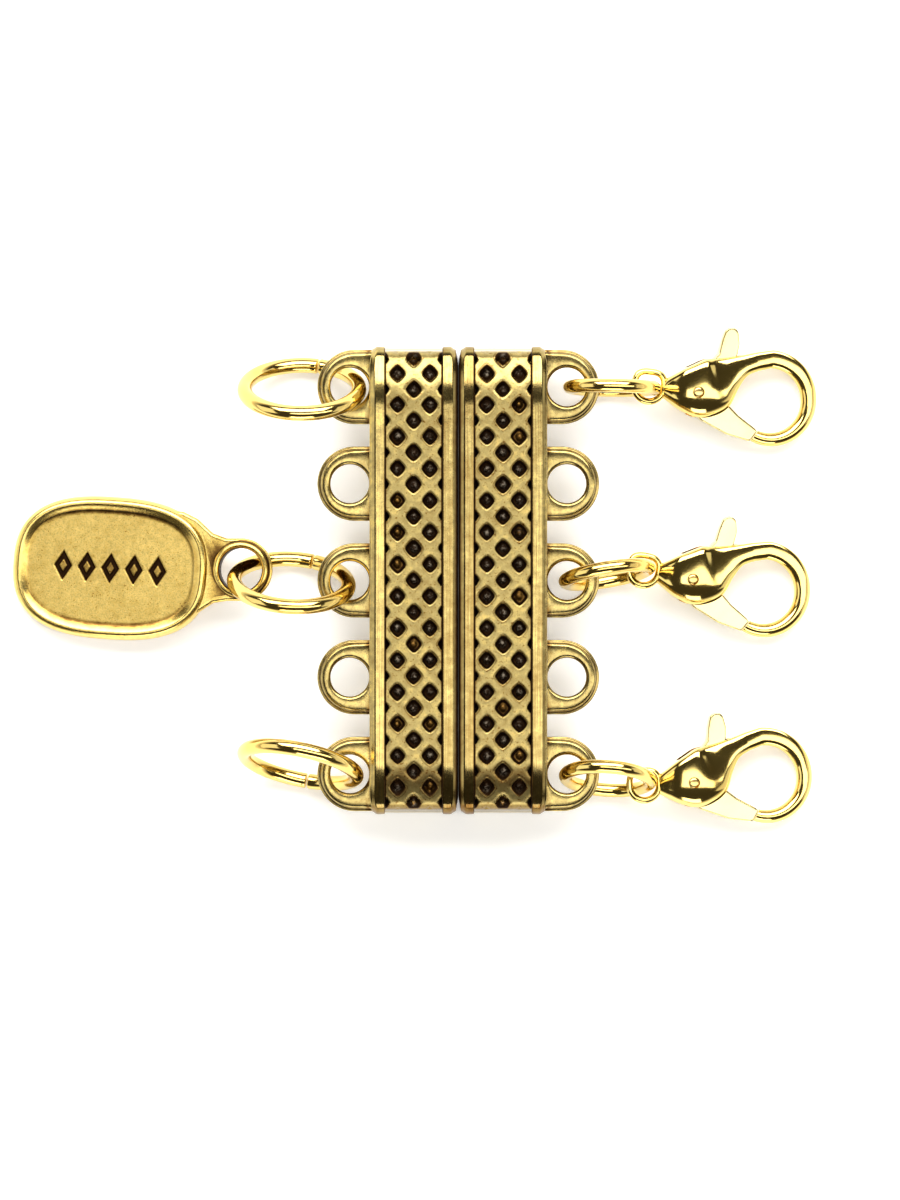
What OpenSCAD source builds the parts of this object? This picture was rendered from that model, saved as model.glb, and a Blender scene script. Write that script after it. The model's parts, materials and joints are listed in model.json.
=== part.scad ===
// Magnetic layering clasp: two mating bars with five cast loops each, jump rings, lobster clasps and a tag.
// Units are millimetres. The clasp lies flat with +Z up. The origin is the middle of the seam between the two
// bars, in the plane that they lie on. +X points at the lobster clasps and +Y along the bars.

/* [Bars] */
// Length of each bar along the seam
bar_l = 30.35; // [26:0.05:34]
// Width of each bar across the seam
bar_w = 5.72; // [5.4:0.02:6.2]
// Height of each bar
bar_h = 6; // [5.6:0.1:6.6]
// Gap between the two mating faces
seam_gap = 0.06; // [0.04:0.02:0.3]
// Width of each smooth rail
rail_w = 1; // [0.8:0.05:1.2]
// Chamfer along the top edges of a rail
rail_chamfer = 0.16; // [0.1:0.02:0.2]
// Depth of the patterned band below the rails
band_drop = 0.3; // [0.2:0.05:0.4]
// Distance from the middle at which the top starts to bend down
bend_start = 11.3; // [10:0.1:12]
// How far the top has bent down where its rounded end begins
bend_drop = 0.6; // [0.3:0.05:0.9]

/* [Lattice] */
// Distance between two pits of one column
cell_pitch = 2.065; // [1.9:0.005:2.2]
// Distance between two neighbouring columns of pits
column_pitch = 1.05; // [0.95:0.01:1.15]
// Width and length of a pit
pit_size = [1.12, 1.24]; // [1:0.02:1.3]
// Depth of a pit below the band
pit_depth = 0.35; // [0.2:0.05:0.5]

/* [Loops] */
// Distance between two loops
loop_pitch = 6.28; // [6:0.02:6.28]
// Diameter of a loop's hole
loop_hole_d = 2.5; // [2.4:0.02:2.6]
// Diameter of a loop's round outside
loop_d = 4.84; // [4.7:0.02:4.84]
// How far a loop stands out of the bar's side
loop_reach = 3.4; // [3.3:0.05:3.6]
// Thickness of a loop
loop_t = 1.2; // [1:0.05:1.4]
// Chamfer along a loop's outer edges
loop_chamfer = 0.2; // [0.1:0.05:0.3]
// Height of a loop's middle
loop_z = 3; // [2.8:0.1:3.2]

/* [Magnets] */
// Diameter of a magnet
magnet_d = 4; // [3:0.1:4.2]
// Thickness of a magnet
magnet_t = 1.5; // [1:0.1:2]
// Distance between two magnets
magnet_pitch = 9; // [8:0.5:10]
// Height of a magnet's axis
magnet_z = 2.8; // [2.6:0.1:3]

/* [Jump rings] */
// Outer diameter of a large ring
large_ring_d = 8.4; // [8.2:0.05:8.5]
// Wire diameter of a large ring
large_wire_d = 1; // [0.9:0.02:1]
// Outer diameter of a small ring
small_ring_d = 6.4; // [6.35:0.01:6.45]
// Wire diameter of a small ring
small_wire_d = 0.9; // [0.8:0.02:0.9]
// Width of the cut where a ring's ends meet
ring_cut = 0.12; // [0.05:0.01:0.2]

/* [Lobster clasps] */
// Height of a clasp's eye above the surface
hook_z = 2.12; // [2.12:0.01:2.15]
// Slope at which a clasp lies, from its lifted eye down to its bow
hook_tilt = 8.4; // [8:0.1:8.4]
// Distance from the eye's centre to the lever's pivot
pivot_x = 3.07; // [3:0.01:3.1]
// Outer diameter of the eye
eye_d = 2.39; // [2.35:0.01:2.4]
// Thickness of the eye's wire
eye_wire_d = 0.45; // [0.4:0.01:0.45]
// Distance from the eye's centre to the centre of the hook's bow
bow_x = 7.9; // [7.8:0.01:7.92]
// Radius of the bow's centre line at its top
bow_r = 2.76; // [2.7:0.01:2.78]
// Radius of the bow's centre line at its tip
bow_tip_r = 2.42; // [2.36:0.01:2.45]

/* [Levers] */
// Thickness of the lever
lever_t = 1; // [0.9:0.02:1]
// Clearance between the lever and each side of the slot
slot_gap = 0.06; // [0.05:0.01:0.1]
// Diameter of the rivet
rivet_d = 0.7; // [0.6:0.02:0.8]
// Radial clearance between the rivet and the lever
pivot_gap = 0.05; // [0.02:0.01:0.08]
// Opening angle that the slots leave room for
open_deg = 26; // [15:1:26]

/* [Tag] */
// Length of the tag's plate
tag_l = 12.9; // [12:0.1:13.4]
// Width of the tag's plate
tag_w = 9.3; // [8.6:0.1:9.6]
// Thickness of the tag
tag_t = 1.2; // [1:0.05:1.4]
// Width of the tag's rim
tag_rim = 0.55; // [0.4:0.05:0.8]
// Depth of the tag's field below the rim
tag_field = 0.25; // [0.15:0.05:0.4]
// Number of small lozenges along the tag
lozenge_count = 5; // [3:2:7]
// Height of the middle of the tag's eye above the surface
tag_eye_z = 2.25; // [2.2:0.05:2.3]

/* [Hidden] */
$fn = 64;
SOFT_FN = 30;
eps = 0.01;
// Loops on each bar and magnets in each mating face, which the list of nodes below goes by
loop_count = 5;
magnet_count = 3;
// Gap around a magnet in its pocket and a rivet in the walls of its clasp
snug = 0.02;
magnet_inset = 0.03;
// Strips that the bent part of a bar's top and its rounded end are made of
bend_steps = 8;
end_steps = 4;
// Length of the rounded end, how steep it ends, and how steep the bend before it has become
end_round = 0.8;
end_steep = 86;
bend_span = bar_l / 2 - end_round - bend_start;
bend_steep = atan(2 * bend_drop / bend_span);
end_r = end_round / (sin(end_steep) - sin(bend_steep));
// Metal between a loop's hole and the bar's side
loop_web = 0.05;
bar_x0 = seam_gap / 2;
loop_hole_x = loop_hole_d / 2 + loop_web;
large_r = (large_ring_d - large_wire_d) / 2;
small_r = (small_ring_d - small_wire_d) / 2;
// Height of a ring's lowest point above the surface
lift = 0.01;
eye_r = (eye_d - eye_wire_d) / 2;
// From a small ring's centre to the centre of the eye that hangs in it, along the ring
eye_reach = 2.42;
// The arc about the pivot on which the gate meets the hook's tip, the gap there, and the corner it is cut in
tip_cut_r = 4.8;
tip_gap = 0.07;
tip_corner = [5.5, -1.4];
// Slot in the bulb: its radius around the lever's hub, beside the gate's root and far out, and where it ends
slot_hub_r = 1.25;
slot_root_r = 2.05;
slot_far_r = 6;
slot_end = 5.75;
// Directions from the pivot that the lever's root, its gate and its tab take up when it is shut
root_sweep = [-110, 92];
gate_sweep = [-100, 2];
tab_sweep = [35, 74];
// Half size of the blocks that cut a clasp
cut = 4;
// Half thicknesses between which a clasp's sections change from ovals to ones with full corners, then the power
// of those corners and how far their faces fall off to the sides
flat_from = 0.75;
flat_full = 1.3;
full_power = 4.5;
crown = 0.1;
// Sides of a clasp's sections, and steps between two rows of its body and round its bow
body_sides = 16;
body_steps = 2;
bow_steps = 20;
// Radius of the lever's hub and of its tab's root
hub_r = 1.1;
tab_root_r = 0.7;
// Half the rivet's length, which ends flush with the bulb
rivet_half = 1.42;

// Rings: [side, loop from the top, out of the hole's centre, along the bar, tilt about X, turn about Z, cut,
// and how far a clasp's eye hangs beside the ring's plane]
TOP_RING = [-1, 1, 3.11, -0.16, 116, 0, -73];
TAG_RING = [-1, 3, 3.78, -0.15, 114.7, -3.5, -69];
LOW_RING = [-1, 5, 3.20, 0.62, 74, -12, -80];
TOP_LINK = [1, 1, 2.93, -0.05, 88, -1, -110, 0.18];
MID_LINK = [1, 3, 2.60, 0.38, 81, 9.5, -110, 0.03];
LOW_LINK = [1, 5, 2.65, -0.30, 73, -4, -110, 0];
// Direction in which each lobster clasp points
TOP_TURN = -6.9;
MID_TURN = -10.3;
LOW_TURN = 3.1;

// From the tag ring's centre to the eye's centre, from the plate's centre to the eye's, and the plate's turn
tag_hang = [-3.12, 0.85];
tag_eye = [8.55, -0.1];
tag_turn = -4;
lozenge = [1.2, 2];
lozenge_pitch = 1.55;
lozenge_depth = 0.15;
tag_eye_d = 4.1;
tag_hole_d = 2.8;
tag_power = 2.6;
// Outline of the neck between the plate and the eye
NECK = [
    [4.2, 3.72], [4.75, 3.68], [5.7, 3.2], [6.7, 2.27], [7.6, 1.94], [8.55, 1.94],
    [8.55, -2.14], [7.6, -2.14], [6.7, -2.28], [5.7, -2.92], [5, -3.5], [4.2, -3.6]
];

// Lobster body from neck to bow: [x, y, heading, half width, half thickness]
BODY = [
    [0.95, 0.00, 0, 0.56, 0.36],
    [1.40, 0.02, 0, 0.88, 0.66],
    [2.10, 0.04, 2, 1.34, 1.12],
    [3.00, 0.11, 6, 1.76, 1.42],
    [3.80, 0.35, 14, 1.88, 1.46],
    [4.60, 0.78, 25, 1.68, 1.28],
    [5.25, 1.48, 30, 1.12, 1.04],
    [6.00, 2.08, 25, 0.72, 0.86],
    [6.85, 2.46, 16, 0.62, 0.70],
];
// Lever: discs that its outline wraps, [x, y, radius], from the gate's root to its tip, then the thumb tab
GATE = [[4.10, -0.90, 1.00], [5.57, -1.76, 0.74], [6.92, -2.25, 0.48]];
TAB = [[4.82, 2.50, 0.60], [4.93, 3.45, 0.60], [4.93, 4.00, 0.48]];

antique = [0.72, 0.57, 0.27];
gold = [0.95, 0.79, 0.38];
steel = [0.66, 0.66, 0.68];

// Points of the top from where it bends, [distance from the middle, height lost]: a parabola, then an arc
// that starts as steep as the parabola ends
function bend() = concat(
    [for (k = [0 : bend_steps]) let (u = k / bend_steps) [bend_start + u * bend_span, bend_drop * u * u]],
    [for (k = [1 : end_steps]) let (a = bend_steep + (end_steep - bend_steep) * k / end_steps) [
        bend_start + bend_span + end_r * (sin(a) - sin(bend_steep)),
        bend_drop + end_r * (cos(bend_steep) - cos(a))
    ]]
);

// Side outline of a bar whose top is lowered by drop
function side(drop) =
    let (q = bend(), n = len(q) - 1, top = bar_h - drop)
    concat(
        [[-bar_l / 2, 0]],
        [for (k = [n : -1 : 0]) [-q[k][0], top - q[k][1]]],
        [for (k = [0 : n]) [q[k][0], top - q[k][1]]],
        [[bar_l / 2, 0]]
    );

// Height along the bar of the middle of a loop, counted from the top
function loop_y(k) = loop_pitch * ((loop_count + 1) / 2 - k);

// Centre of a ring in plan, and its height
function ring_xy(q) = [q[0] * (bar_x0 + bar_w + loop_hole_x + q[2]), loop_y(q[1]) + q[3]];
function ring_z(q, r, w) = r * sin(q[4]) + w / 2 + lift;

// The bar's side outline drawn out from x0 to x1
module along_x(drop, x0, x1) {
    translate([x0, 0, 0])
        rotate([90, 0, 90])
            linear_extrude(x1 - x0)
                polygon(side(drop));
}

// Plan of the band between the rails, with its diamond pits left out
module lattice_plan() {
    edge = 0.06;
    rows = floor(bar_l / cell_pitch);
    difference() {
        translate([rail_w, -bar_l / 2])
            square([bar_w - 2 * rail_w, bar_l]);
        for (row = [-rows : rows], column = [-2 : 2])
            if ((row + column) % 2 == 0)
                intersection() {
                    translate([bar_w / 2 + column * column_pitch, row * cell_pitch / 2])
                        diamond(pit_size);
                    translate([rail_w + edge, -bar_l / 2])
                        square([bar_w - 2 * rail_w - 2 * edge, bar_l]);
                }
    }
}

module diamond(size) {
    polygon([[size.x / 2, 0], [0, size.y / 2], [-size.x / 2, 0], [0, -size.y / 2]]);
}

// A smooth rail from x0, its top edges chamfered
module rail(x0) {
    along_x(rail_chamfer, x0, x0 + rail_w);
    along_x(0, x0 + rail_chamfer, x0 + rail_w - rail_chamfer);
}

// One layer of a loop, drawn in by inset from its outer edge
module loop_layer(inset, h) {
    straight = loop_reach - loop_d / 2;
    root = 0.4;
    translate([straight, 0, 0])
        cylinder(h = h, d = loop_d - 2 * inset);
    translate([-root, inset - loop_d / 2, 0])
        cube([straight + root, loop_d - 2 * inset, h]);
}

// One cast loop with its hole, its middle at y
module loop_ring(y) {
    translate([bar_w, y, loop_z - loop_t / 2])
        difference() {
            union() {
                loop_layer(loop_chamfer, loop_t);
                translate([0, 0, loop_chamfer])
                    loop_layer(0, loop_t - 2 * loop_chamfer);
            }
            translate([loop_hole_x, 0, -1])
                cylinder(h = loop_t + 2, d = loop_hole_d);
        }
}

// A bar with its seam face on x = 0 and its loops towards +X
module bar() {
    difference() {
        union() {
            along_x(band_drop + pit_depth, 0, bar_w);
            rail(0);
            rail(bar_w - rail_w);
            intersection() {
                along_x(band_drop, rail_w - eps, bar_w - rail_w + eps);
                linear_extrude(bar_h + 1)
                    lattice_plan();
            }
            for (k = [1 : loop_count])
                loop_ring(loop_y(k));
        }
        for (k = [1 : magnet_count])
            translate([-1, magnet_y(k), magnet_z])
                rotate([0, 90, 0])
                    cylinder(h = 1 + magnet_inset + magnet_t + snug, d = magnet_d + 2 * snug);
    }
}

// Place along the bar of a magnet, counted from the lower end
function magnet_y(k) = magnet_pitch * (k - (magnet_count + 1) / 2);

// One magnet of a bar, counted from its lower end
module magnet(k) {
    translate([magnet_inset, magnet_y(k), magnet_z])
        rotate([0, 90, 0])
            cylinder(h = magnet_t, d = magnet_d);
}

// Puts a bar's own frame on the left or the right of the seam
module left_side() {
    mirror([1, 0, 0])
        translate([bar_x0, 0, 0])
            children();
}
module right_side() {
    translate([bar_x0, 0, 0])
        children();
}

// A jump ring of radius r and wire w, leaning in its loop with its lowest point on the surface
module jump_ring(q, r, w) {
    gap = ring_cut / r * 180 / PI;
    translate(concat(ring_xy(q), [ring_z(q, r, w)]))
        rotate([0, 0, q[5]])
            rotate([q[4], 0, 0])
                rotate([0, 0, q[6] + gap / 2])
                    rotate_extrude(angle = 360 - gap)
                        translate([r, 0])
                            circle(d = w);
}

// Puts the frame of a lobster clasp, eye at the origin and hook along +X, on the small ring that holds it
module on_link(q, turn) {
    lean = (hook_z - ring_z(q, small_r, small_wire_d)) / tan(q[4]) + q[7];
    translate(concat(ring_xy(q), [hook_z]))
        rotate([0, 0, q[5]])
            translate([eye_reach, lean, 0])
                rotate([0, hook_tilt, turn - q[5]])
                    children();
}

// Row at u between rows 1 and 2 of four rows, on a smooth curve through all of them
function between(a, b, c, d, u) =
    0.5 * (2 * b + (c - a) * u + (2 * a - 5 * b + 4 * c - d) * u * u + (3 * b - a - 3 * c + d) * u * u * u);
function smooth(t, steps) =
    let (n = len(t))
    [for (i = [0 : n - 2], s = [0 : steps - 1])
        between(t[max(i - 1, 0)], t[i], t[i + 1], t[min(i + 2, n - 1)], s / steps)];

// The bow's rows: an arc from just past its top round to beyond the tip
function bow_rows(n) = [for (i = [0 : n])
    let (u = i / n, a = 92 - 200 * u, r = bow_r + (bow_tip_r - bow_r) * u * u)
    [bow_x + r * cos(a), r * sin(a), a - 90, 0.6 - 0.18 * u, 0.64 - 0.14 * u]];

// How flat a section of half thickness h is, from 0 for an oval to 1 for full corners
function flatness(h) =
    let (t = min(max((h - flat_from) / (flat_full - flat_from), 0), 1))
    t * t * (3 - 2 * t);

// Point at the angle a of a section [x, y, heading, half width, half thickness], which is a superellipse with
// crowned faces
function section(q, a) =
    let (
        flat = flatness(q[4]), p = 2 + (full_power - 2) * flat,
        reach = pow(pow(abs(cos(a)), p) + pow(abs(sin(a)), p), -1 / p),
        across = reach * cos(a), level = reach * sin(a) * (1 - crown * flat * across * across)
    )
    [q[0] - sin(q[2]) * q[3] * across, q[1] + cos(q[2]) * q[3] * across, q[4] * level];

// A closed skin through one section for each row
module skin(rows, sides) {
    n = len(rows);
    points = [for (q = rows, k = [0 : sides - 1]) section(q, 360 * k / sides)];
    walls = [for (i = [0 : n - 2], k = [0 : sides - 1], half = [0, 1])
        let (j = (k + 1) % sides, a = i * sides + k, b = i * sides + j, c = a + sides, d = b + sides)
        half == 0 ? [a, d, b] : [a, c, d]];
    first = [for (k = [0 : sides - 1]) k];
    last = [for (k = [sides - 1 : -1 : 0]) (n - 1) * sides + k];
    polyhedron(points, concat(walls, [first, last]));
}

// Wedge about the pivot over a sweep, and on by the opening angle
module wedge(r, sweep) {
    n = 6;
    polygon(concat([[0, 0]], [for (k = [0 : n])
        let (a = sweep[0] + (sweep[1] + open_deg - sweep[0]) * k / n) r * [cos(a), sin(a)]]));
}

// Plan of the slot that the lever turns in
module slot_plan() {
    circle(r = slot_hub_r);
    wedge(slot_root_r, root_sweep);
    wedge(slot_far_r, gate_sweep);
    wedge(slot_far_r, tab_sweep);
}

// Lobster body: eye, bulb, slot for the lever, bow and rivet hole
module hook() {
    slot_t = lever_t + 2 * slot_gap;
    difference() {
        union() {
            rotate_extrude()
                translate([eye_r, 0])
                    circle(d = eye_wire_d);
            skin(concat(smooth(BODY, body_steps), [BODY[len(BODY) - 1]], bow_rows(bow_steps)), body_sides);
        }
        intersection() {
            translate([pivot_x, 0, -slot_t / 2])
                linear_extrude(slot_t)
                    slot_plan();
            translate([slot_end - 2 * cut, -cut, -cut])
                cube(2 * cut);
        }
        intersection() {
            translate([pivot_x, 0, -cut])
                cylinder(h = 2 * cut, r = tip_cut_r);
            translate([tip_corner.x, tip_corner.y - 2 * cut, -cut])
                cube(2 * cut);
        }
        translate([pivot_x, 0, -cut])
            cylinder(h = 2 * cut, r = rivet_d / 2 + snug);
    }
}

// Outline through a row of discs
module chain(discs) {
    for (k = [0 : len(discs) - 2])
        hull()
            for (d = [discs[k], discs[k + 1]])
                translate([d[0], d[1]])
                    circle(r = d[2], $fn = SOFT_FN);
}

// Gate with its arm, ending on an arc about the pivot
module gate() {
    intersection() {
        translate([0, 0, -lever_t / 2])
            linear_extrude(lever_t)
                chain(concat([[pivot_x, 0, hub_r]], GATE));
        translate([pivot_x, 0, -cut])
            cylinder(h = 2 * cut, r = tip_cut_r - tip_gap);
    }
}

// Lever: gate, thumb tab and the bore at its pivot
module lever() {
    difference() {
        union() {
            gate();
            translate([0, 0, -lever_t / 2])
                linear_extrude(lever_t)
                    chain(concat([[pivot_x, 0, tab_root_r]], TAB));
        }
        translate([pivot_x, 0, -cut])
            cylinder(h = 2 * cut, r = rivet_d / 2 + pivot_gap);
    }
}

// Rivet that the lever turns on, flush with both sides of the bulb
module rivet() {
    translate([pivot_x, 0, -rivet_half])
        cylinder(h = 2 * rivet_half, d = rivet_d);
}

// Oval with flattened sides, a wide and b deep
module oval(a, b) {
    polygon([for (k = [0 : 71]) let (t = k * 5) [
        a / 2 * sign(cos(t)) * pow(abs(cos(t)), 2 / tag_power),
        b / 2 * sign(sin(t)) * pow(abs(sin(t)), 2 / tag_power)
    ]]);
}

// Tag: an oval plate with a raised rim, a row of lozenges and a cast eye
module tag_solid() {
    difference() {
        union() {
            rotate([0, 0, tag_turn])
                difference() {
                    linear_extrude(tag_t)
                        oval(tag_l, tag_w);
                    translate([0, 0, tag_t - tag_field])
                        linear_extrude(1)
                            oval(tag_l - 2 * tag_rim, tag_w - 2 * tag_rim);
                    for (k = [1 : lozenge_count])
                        translate([
                            (k - (lozenge_count + 1) / 2) * lozenge_pitch, 0,
                            tag_t - tag_field - lozenge_depth
                        ])
                            linear_extrude(1)
                                diamond(lozenge);
                }
            translate([tag_eye.x, tag_eye.y, 0])
                cylinder(h = tag_t, d = tag_eye_d);
            linear_extrude(tag_t - tag_field)
                polygon(NECK);
        }
        translate([tag_eye.x, tag_eye.y, -1])
            cylinder(h = tag_t + 2, d = tag_hole_d);
    }
}

module left_bar() { color(antique) left_side() bar(); }
module right_bar() { color(antique) right_side() bar(); }
module left_magnet(k) { color(steel) left_side() magnet(k); }
module right_magnet(k) { color(steel) right_side() magnet(k); }
module large_ring(q) { color(gold) jump_ring(q, large_r, large_wire_d); }
module link(q) { color(gold) jump_ring(q, small_r, small_wire_d); }
module hook_on(q, turn) { color(gold) on_link(q, turn) hook(); }
module lever_on(q, turn) { color(gold) on_link(q, turn) lever(); }
module rivet_on(q, turn) { color(gold) on_link(q, turn) rivet(); }

// The tag leans on its far edge, with its eye lifted by the ring
module tag() {
    far = tag_eye.x + tag_l / 2;
    slope = asin((tag_eye_z - tag_t / 2) / far);
    at = ring_xy(TAG_RING) + tag_hang;
    color(antique)
        translate([at.x - far, at.y - tag_eye.y, 2 * lift])
            rotate([0, -slope, 0])
                translate([tag_l / 2, 0, 0])
                    tag_solid();
}

left_bar();
right_bar();
for (k = [1 : magnet_count]) {
    left_magnet(k);
    right_magnet(k);
}
large_ring(TOP_RING);  // left_ring_top
large_ring(LOW_RING);  // left_ring_bottom
large_ring(TAG_RING);  // tag_ring
tag();
link(TOP_LINK);  // link_top
link(MID_LINK);  // link_middle
link(LOW_LINK);  // link_bottom
hook_on(TOP_LINK, TOP_TURN);  // hook_top
hook_on(MID_LINK, MID_TURN);  // hook_middle
hook_on(LOW_LINK, LOW_TURN);  // hook_bottom
lever_on(TOP_LINK, TOP_TURN);  // lever_top
lever_on(MID_LINK, MID_TURN);  // lever_middle
lever_on(LOW_LINK, LOW_TURN);  // lever_bottom
rivet_on(TOP_LINK, TOP_TURN);  // rivet_top
rivet_on(MID_LINK, MID_TURN);  // rivet_middle
rivet_on(LOW_LINK, LOW_TURN);  // rivet_bottom
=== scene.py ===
import json
import bmesh
import bpy
import numpy as np
from mathutils import Matrix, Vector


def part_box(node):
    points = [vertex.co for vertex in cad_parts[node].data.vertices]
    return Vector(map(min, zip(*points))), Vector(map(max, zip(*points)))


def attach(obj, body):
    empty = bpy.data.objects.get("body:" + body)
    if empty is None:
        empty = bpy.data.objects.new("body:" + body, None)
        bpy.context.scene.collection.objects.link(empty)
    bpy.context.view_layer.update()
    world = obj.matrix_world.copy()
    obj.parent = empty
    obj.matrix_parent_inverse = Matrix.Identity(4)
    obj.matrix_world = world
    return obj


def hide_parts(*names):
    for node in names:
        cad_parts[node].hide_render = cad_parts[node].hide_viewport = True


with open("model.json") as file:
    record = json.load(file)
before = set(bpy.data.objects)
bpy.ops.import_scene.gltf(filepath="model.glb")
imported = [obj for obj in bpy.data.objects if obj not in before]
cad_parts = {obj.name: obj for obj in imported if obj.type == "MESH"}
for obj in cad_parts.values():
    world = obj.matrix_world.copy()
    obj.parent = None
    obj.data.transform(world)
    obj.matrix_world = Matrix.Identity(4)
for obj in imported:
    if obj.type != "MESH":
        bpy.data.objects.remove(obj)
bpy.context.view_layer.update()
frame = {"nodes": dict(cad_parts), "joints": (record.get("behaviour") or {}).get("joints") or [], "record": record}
print("frame loaded,", len(frame["nodes"]), "nodes")

mm = 0.001                                    # shapes are worked out in millimetres, and meshes are in metres
joints = {joint["name"]: joint for joint in frame["joints"]}
bores = {mount["name"]: mount for mount in frame["record"]["mounts"] if mount["kind"] == "bore"}


# Small sums that every piece uses

def nodeBox(node):                            # lowest and highest corner of a node of the frame
    return tuple(np.array(corner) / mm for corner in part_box(node))


def soften(value, start, end):                # 0 up to start, 1 from end on, an S curve between; start may be the higher
    t = np.clip((value - start) / (end - start), 0, 1)
    return t * t * (3 - 2 * t)


def turned(axis, degrees):                    # matrix of a turn about one axis
    angle = np.radians(degrees)
    i, j = {"x": (1, 2), "y": (2, 0), "z": (0, 1)}[axis]
    matrix = np.eye(3)
    matrix[i, i] = matrix[j, j] = np.cos(angle)
    matrix[i, j], matrix[j, i] = -np.sin(angle), np.sin(angle)
    return matrix


def arc(start, end, count):                   # angles in radians from start to end, both in degrees
    return np.radians(np.linspace(start, end, count))


# Surfaces: points in rows, and faces that name their points by number

def belts(rows):                              # faces between rows of point numbers, each row closed on itself
    rows = np.array(rows)
    nextOne = np.roll(rows, -1, axis=1)
    return np.stack([rows[:-1], nextOne[:-1], nextOne[1:], rows[1:]], -1).reshape(-1, 4).tolist()


def numbered(rings, start=0):                 # point numbers of a grid, row by row
    count = rings.shape[0] * rings.shape[1]
    return np.arange(start, start + count).reshape(rings.shape[:2])


def tube(rings, closed=False):                # rows of rings joined to a skin, its ends capped or joined to each other
    rows = numbered(rings)
    faces = belts(np.vstack([rows, rows[:1]]) if closed else rows)
    if not closed:
        faces += [rows[0][::-1].tolist(), rows[-1].tolist()]
    return rings.reshape(-1, 3), faces


def together(*shells):                        # several skins as one list of points and faces
    points, faces = [], []
    for shellPoints, shellFaces in shells:
        start = sum(len(p) for p in points)
        points.append(shellPoints)
        faces += [[number + start for number in face] for face in shellFaces]
    return np.vstack(points), faces


def solid(name, shell):                       # an object in millimetres with its faces pointing outwards
    mesh = bpy.data.meshes.new(name)
    mesh.from_pydata(shell[0].tolist(), [], shell[1])
    work = bmesh.new()
    work.from_mesh(mesh)
    bmesh.ops.recalc_face_normals(work, faces=work.faces)
    work.to_mesh(mesh)
    work.free()
    piece = bpy.data.objects.new(name, mesh)
    bpy.context.scene.collection.objects.link(piece)
    return piece


def change(piece, shell, operation):          # joins a skin to a piece, or cuts it out of the piece
    tool = solid("tool", shell)
    step = piece.modifiers.new("step", "BOOLEAN")
    step.operation, step.solver, step.object = operation, "MANIFOLD", tool
    evaluated = piece.evaluated_get(bpy.context.evaluated_depsgraph_get())
    mesh = bpy.data.meshes.new_from_object(evaluated)
    piece.modifiers.clear()
    piece.data = mesh
    bpy.data.objects.remove(tool)


def pointsOf(piece):                          # a piece's points as rows of x, y and z
    points = np.empty(len(piece.data.vertices) * 3)
    piece.data.vertices.foreach_get("co", points)
    return points.reshape(-1, 3)


def mark(piece, name, values):                # a number at each point, which the materials read
    layer = piece.data.attributes.new(name, "FLOAT", "POINT")
    layer.data.foreach_set("value", values.astype(np.float32))


def settle(piece, matrix, shift, body, node, finish, sharp):
    # turns, shifts and scales a piece's points into its place in the frame, and shades, paints and registers it
    points = (pointsOf(piece) @ matrix.T + shift) * mm
    piece.data.vertices.foreach_set("co", points.ravel())
    if np.linalg.det(matrix) < 0:
        piece.data.flip_normals()
    piece.data.shade_smooth()
    piece.data.set_sharp_from_angle(angle=np.radians(sharp))
    piece.data.update()
    piece.data.materials.clear()
    piece.data.materials.append(finish)
    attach(piece, body)
    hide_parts(node)
    return piece


# Materials

class Wire:                                   # a socket that sums can be written with
    def __init__(self, tree, socket=None):
        self.tree, self.socket = tree, socket

    def make(self, kind, settings=None, inputs=None, out=0):
        # a node of this kind: its settings first, then a value or a link for each of its sockets
        node = self.tree.nodes.new(kind)
        for key, value in (settings or {}).items():
            if key == "stops":
                elements = node.color_ramp.elements
                while len(elements) < len(value):
                    elements.new(0.5)
                for element, (place, colour) in zip(elements, value):
                    element.position, element.color = place, (*colour, 1)
            else:
                setattr(node, key, value)
        for key, value in (inputs or {}).items():
            if isinstance(value, Wire):
                self.tree.links.new(value.socket, node.inputs[key])
            else:
                node.inputs[key].default_value = value
        return Wire(self.tree, node.outputs[out] if len(node.outputs) else None)

    def sum(self, operation, first, second):  # a Math node
        return self.make("ShaderNodeMath", {"operation": operation}, {0: first, 1: second})

    def __add__(self, other):
        return self.sum("ADD", self, other)

    def __radd__(self, other):
        return self.sum("ADD", other, self)

    def __sub__(self, other):
        return self.sum("SUBTRACT", self, other)

    def __rsub__(self, other):
        return self.sum("SUBTRACT", other, self)

    def __mul__(self, other):
        return self.sum("MULTIPLY", self, other)

    def __rmul__(self, other):
        return self.sum("MULTIPLY", other, self)

    def between(self, low, high):             # 0 at low and below, 1 at high and above, also where low is the higher
        return self.make("ShaderNodeMapRange", {"interpolation_type": "SMOOTHSTEP"},
                         {"Value": self, "From Min": low, "From Max": high})

    def noise(self, scale, detail=2.0, rough=0.5):   # 0 to 1 in soft spots, scale of them in a metre
        return self.make("ShaderNodeTexNoise", None,
                         {"Vector": self, "Scale": scale, "Detail": detail, "Roughness": rough})

    def stretched(self, scale):               # these coordinates times a scale along each axis
        return self.make("ShaderNodeMapping", None, {"Vector": self, "Scale": scale})

    def ramp(self, stops):                    # a colour for each number, blended between the stops
        return self.make("ShaderNodeValToRGB", {"stops": stops}, {"Fac": self})

    def blend(self, low, high):               # one colour where this number is 0, the other where it is 1
        colours = [value if isinstance(value, Wire) else (*value, 1) for value in (low, high)]
        return self.make("ShaderNodeMix", {"data_type": "RGBA"}, {0: self, 6: colours[0], 7: colours[1]}, 2)

    def shaded(self, amount):                 # this colour times a number
        return self.make("ShaderNodeVectorMath", {"operation": "SCALE"}, {0: self, "Scale": amount})


def newMaterial(name):                        # a blank material: its maker of nodes and its Object coordinates
    made = bpy.data.materials.new(name)
    made.use_nodes = True
    made.node_tree.nodes.clear()
    start = Wire(made.node_tree)
    return made, start, start.make("ShaderNodeTexCoord", None, None, 3)


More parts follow.
